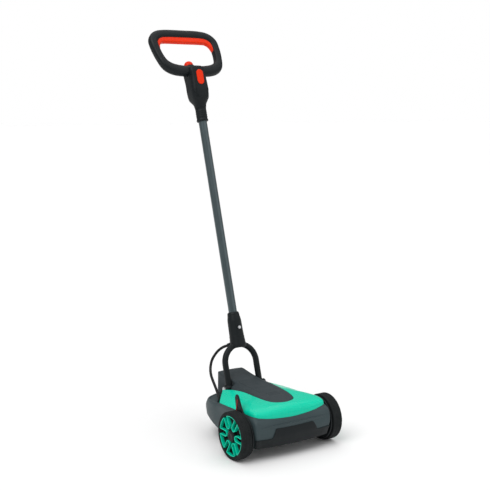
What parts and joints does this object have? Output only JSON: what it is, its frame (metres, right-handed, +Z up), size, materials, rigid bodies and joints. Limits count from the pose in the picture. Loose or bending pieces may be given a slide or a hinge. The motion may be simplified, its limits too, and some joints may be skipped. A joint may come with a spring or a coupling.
{
  "type": "cordless lawn mower",
  "caption": "Compact battery lawn mower with a low wedge deck, swivelling fork and stick handle with a loop grip; cuts with a flat blade.",
  "frame": {"origin": "centre of the bounding box on the ground plane", "axes": "+Z up, -Y forward (the way the mower is pushed), X across the wheels"},
  "size_m": [0.33, 0.6413, 1.1666],
  "materials": {
    "black_plastic": "satin",
    "grey_plastic": "fine texture",
    "teal_plastic": "semi-gloss",
    "orange_plastic": "semi-gloss",
    "red_plastic": "satin",
    "steel": "plain",
    "blade_steel": "coated, ground edges",
    "coated_tube": "satin coat",
    "tyre_rubber": "ribbed",
    "board": "coated board",
    "cell_wrap": "shrink wrap",
    "cable_sheath": "smooth"
  },
  "bodies": {
    "deck": {"deck_shell": "grey_plastic", "front_bumper": "black_plastic", "shoulder_cover": "teal_plastic", "top_lid": "grey_plastic", "motor": "steel", "motor_screws": "steel", "shaft_bearing": "steel", "controller_board": "board", "battery_dock": "black_plastic", "pivot_bracket_left": "black_plastic", "pivot_bracket_right": "black_plastic", "pivot_pins": "steel", "deck_gland": "black_plastic", "axle_guides": "black_plastic", "rear_carrier": "black_plastic", "rear_axle": "steel"},
    "axle_unit": {"front_axle": "steel", "axle_blocks": "black_plastic", "arch_disc_right": "black_plastic"},
    "lever": {"height_lever": "black_plastic", "lever_insert": "red_plastic"},
    "wheel_left": {"tyre_left": "tyre_rubber", "rim_left": "black_plastic", "trim_left": "teal_plastic", "hub_cap_left": "black_plastic", "bush_left": "steel"},
    "wheel_right": {"tyre_right": "tyre_rubber", "rim_right": "black_plastic", "trim_right": "teal_plastic", "hub_cap_right": "black_plastic", "bush_right": "steel"},
    "roller_left": {"rear_wheel_left": "black_plastic"},
    "roller_right": {"rear_wheel_right": "black_plastic"},
    "rotor": {"motor_shaft": "steel", "blade_carrier": "black_plastic", "blade": "blade_steel", "blade_bolt": "steel"},
    "battery": {"battery_case": "grey_plastic", "battery_cells": "cell_wrap", "latch_spring": "steel"},
    "latch": {"battery_latch": "orange_plastic"},
    "handle": {"fork": "black_plastic", "fork_screw": "steel", "handle_tube": "coated_tube", "inner_lead": "cable_sheath", "upper_collar": "black_plastic", "stem_housing": "black_plastic", "grip_front_shell": "black_plastic", "grip_rear_shell": "black_plastic", "grip_screws": "steel", "trigger_switch": "black_plastic", "cable_relief": "black_plastic", "control_cable": "cable_sheath", "trigger_springs": "steel", "lock_spring": "steel", "start_spring": "steel"},
    "trigger": {"trigger_bar": "orange_plastic"},
    "lock": {"lock_button": "orange_plastic"},
    "starter": {"start_button": "orange_plastic"}
  },
  "joints": [
    {"name": "handle_pivot", "type": "hinge", "parent": "deck", "child": "handle", "pos_m": [0, -0.06536, 0.13], "axis": [1, 0, 0], "range_deg": [-50, 20], "deforming": ["control_cable"]},
    {"name": "axle_height", "type": "slide", "parent": "deck", "child": "axle_unit", "axis": [0, 0, 1], "range_m": [-0.012, 0]},
    {"name": "lever_turn", "type": "hinge", "parent": "axle_unit", "child": "lever", "pos_m": [0, -0.25136, 0.065], "axis": [1, 0, 0], "range_deg": [0, 30]},
    {"name": "wheel_left_spin", "type": "hinge", "parent": "axle_unit", "child": "wheel_left", "pos_m": [-0.15, -0.25136, 0.065], "axis": [1, 0, 0], "continuous": true},
    {"name": "wheel_right_spin", "type": "hinge", "parent": "axle_unit", "child": "wheel_right", "pos_m": [0.15, -0.25136, 0.065], "axis": [1, 0, 0], "continuous": true},
    {"name": "roller_left_spin", "type": "hinge", "parent": "deck", "child": "roller_left", "pos_m": [-0.036, -0.02936, 0.02], "axis": [1, 0, 0], "continuous": true},
    {"name": "roller_right_spin", "type": "hinge", "parent": "deck", "child": "roller_right", "pos_m": [0.036, -0.02936, 0.02], "axis": [1, 0, 0], "continuous": true},
    {"name": "blade_spin", "type": "hinge", "parent": "deck", "child": "rotor", "pos_m": [0, -0.16336, 0.042], "axis": [0, 0, 1], "continuous": true},
    {"name": "battery_slide", "type": "slide", "parent": "deck", "child": "battery", "axis": [0, 1, 0], "range_m": [0, 0.11]},
    {"name": "latch_press", "type": "slide", "parent": "battery", "child": "latch", "axis": [0, -1, 0], "range_m": [0, 0.003], "stiffness_N_per_m": 600, "springref_m": -0.002, "deforming": ["latch_spring"]},
    {"name": "trigger_press", "type": "slide", "parent": "handle", "child": "trigger", "axis": [0, 0.6004, 0.7997], "range_m": [0, 0.005], "stiffness_N_per_m": 1000, "springref_m": -0.003, "deforming": ["trigger_springs"]},
    {"name": "lock_press", "type": "slide", "parent": "handle", "child": "lock", "axis": [0, 0.9558, -0.294], "range_m": [0, 0.0025], "stiffness_N_per_m": 800, "springref_m": -0.002, "deforming": ["lock_spring"]},
    {"name": "start_press", "type": "slide", "parent": "handle", "child": "starter", "axis": [0, -0.6004, -0.7997], "range_m": [0, 0.005], "stiffness_N_per_m": 800, "springref_m": -0.002, "deforming": ["start_spring"]}
  ],
  "couplings": [
    {"joint": "lever_turn", "follows": "axle_height", "rad_per_m": -43.633}
  ]
}
